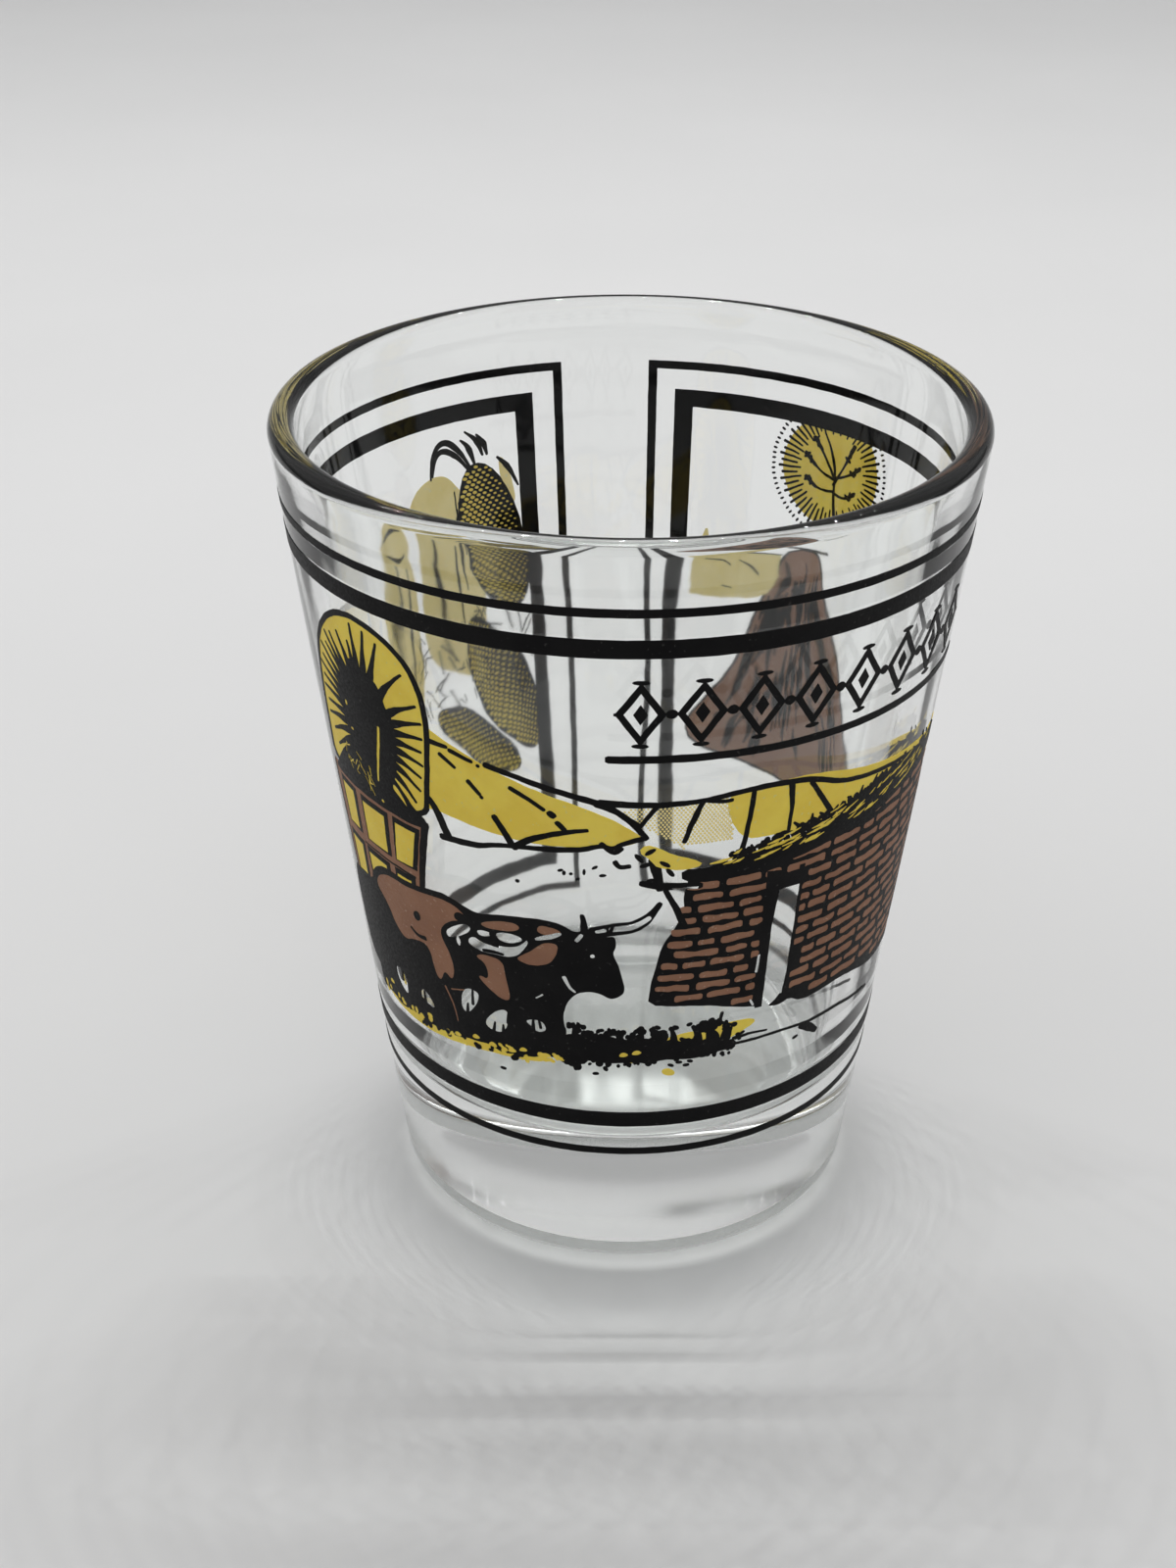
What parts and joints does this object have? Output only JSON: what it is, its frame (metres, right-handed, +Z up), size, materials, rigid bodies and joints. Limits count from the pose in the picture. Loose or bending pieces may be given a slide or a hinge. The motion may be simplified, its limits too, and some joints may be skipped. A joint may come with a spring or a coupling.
{
  "type": "shot glass",
  "caption": "Clear tapered shot glass with a thick base, decorated all round in fired yellow, brown and black enamel inside a double border.",
  "frame": {"origin": "centre of the base, on the surface that the glass stands on", "axes": "+Z up along the glass's axis; -Y towards the front of the decoration, between the wagon and the house; +X to the right of someone looking at that front"},
  "size_m": [0.048, 0.048, 0.0595],
  "materials": {
    "clear_glass": "clear, fire-polished",
    "black_enamel": "satin, fired screen print",
    "yellow_enamel": "satin, fired screen print",
    "tan_enamel": "satin, halftone of fired screen print",
    "brown_enamel": "satin, fired screen print"
  },
  "bodies": {
    "root": {"block_black": "black_enamel", "block_yellow": "yellow_enamel", "border_inner_band": "black_enamel", "border_outer_rule": "black_enamel", "corn_ear_short_black": "black_enamel", "corn_ear_short_yellow": "yellow_enamel", "corn_ear_tall_black": "black_enamel", "corn_ear_tall_yellow": "yellow_enamel", "eave_yellow": "yellow_enamel", "front_ox_brown": "brown_enamel", "glass_body": "clear_glass", "grass_left_yellow": "yellow_enamel", "grass_right_yellow": "yellow_enamel", "hill_left_black": "black_enamel", "hill_left_yellow": "yellow_enamel", "hill_right_black": "black_enamel", "hill_right_tan": "tan_enamel", "hill_right_yellow": "yellow_enamel", "house_mortar_black": "black_enamel", "house_wall_brown": "brown_enamel", "husk_left_yellow": "yellow_enamel", "husk_middle_yellow": "yellow_enamel", "husk_right_yellow": "yellow_enamel", "husk_veins_black": "black_enamel", "oxen_and_ground_black": "black_enamel", "rear_ox_brown": "brown_enamel", "spire_black": "black_enamel", "spire_brown": "brown_enamel", "sunburst_black": "black_enamel", "sunburst_yellow": "yellow_enamel", "thatch_black": "black_enamel", "title_frieze": "black_enamel", "title_underline": "black_enamel", "wagon_box_brown": "brown_enamel", "wagon_cover_black": "black_enamel", "wagon_cover_yellow": "yellow_enamel", "wagon_pane_1_yellow": "yellow_enamel", "wagon_pane_2_yellow": "yellow_enamel", "wagon_pane_3_yellow": "yellow_enamel", "wagon_pane_4_yellow": "yellow_enamel", "wagon_pane_5_yellow": "yellow_enamel"}
  },
  "joints": []
}
